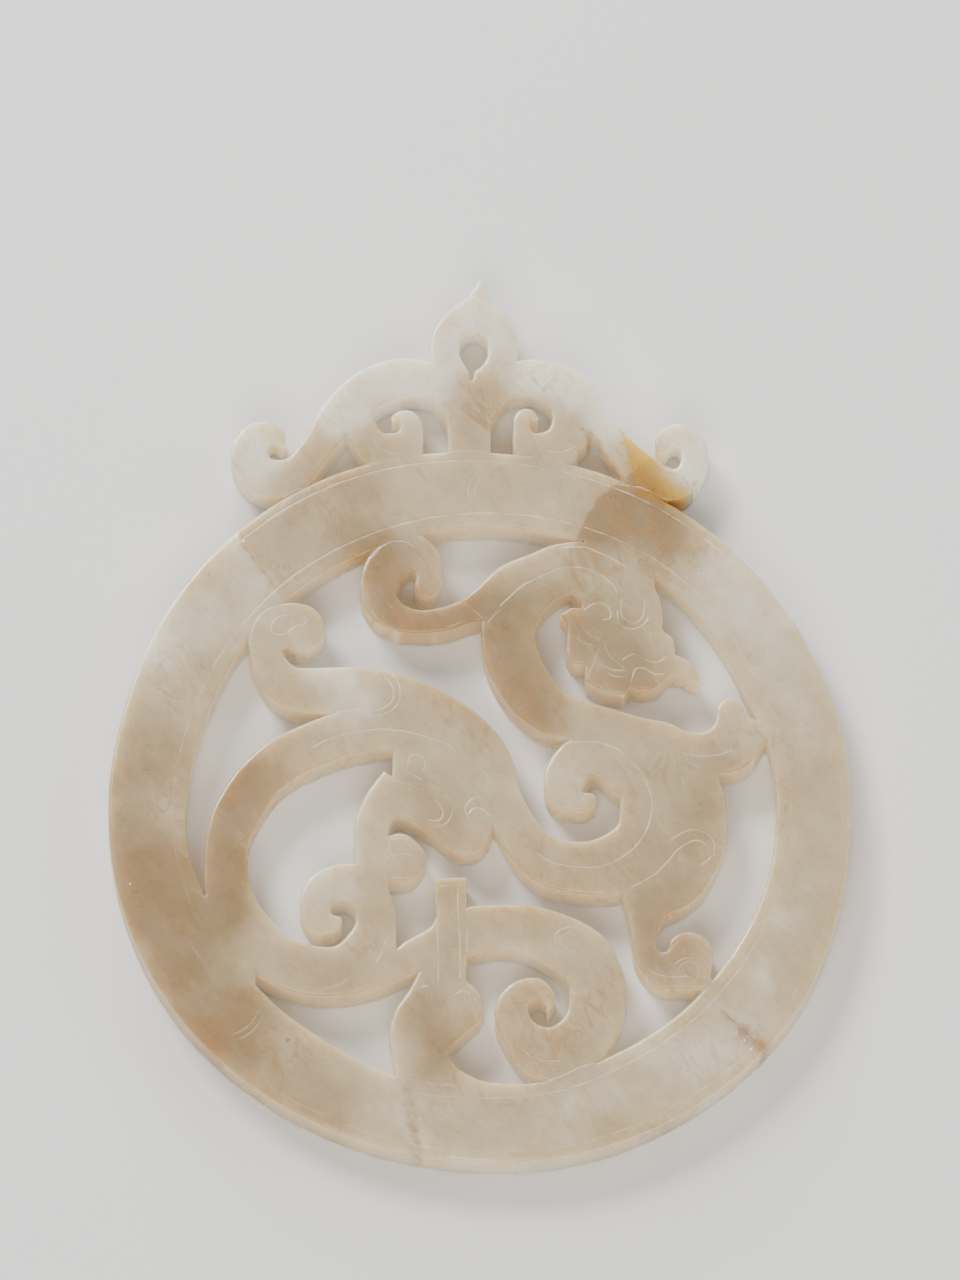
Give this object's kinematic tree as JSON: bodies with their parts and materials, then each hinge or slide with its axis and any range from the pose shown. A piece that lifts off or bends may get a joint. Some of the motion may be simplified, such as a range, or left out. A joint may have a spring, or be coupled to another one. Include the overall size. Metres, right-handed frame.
{
  "type": "carved jade pendant",
  "caption": "Flat openwork disc pendant of pale jade: a pierced ring around coiled creatures, under a scrolled crown with a hanging hole.",
  "frame": {"origin": "middle of the ring, on the flat back face", "axes": "+Z out of the carved front face, +Y from the middle of the ring towards the crown's point, +X to the right as seen from the front"},
  "size_m": [0.0722, 0.0903, 0.0046],
  "materials": {
    "jade": "polished pale nephrite, cream with bluish white parts and brown stains along old breaks"
  },
  "bodies": {
    "root": {"jade_pendant": "jade"}
  },
  "joints": []
}
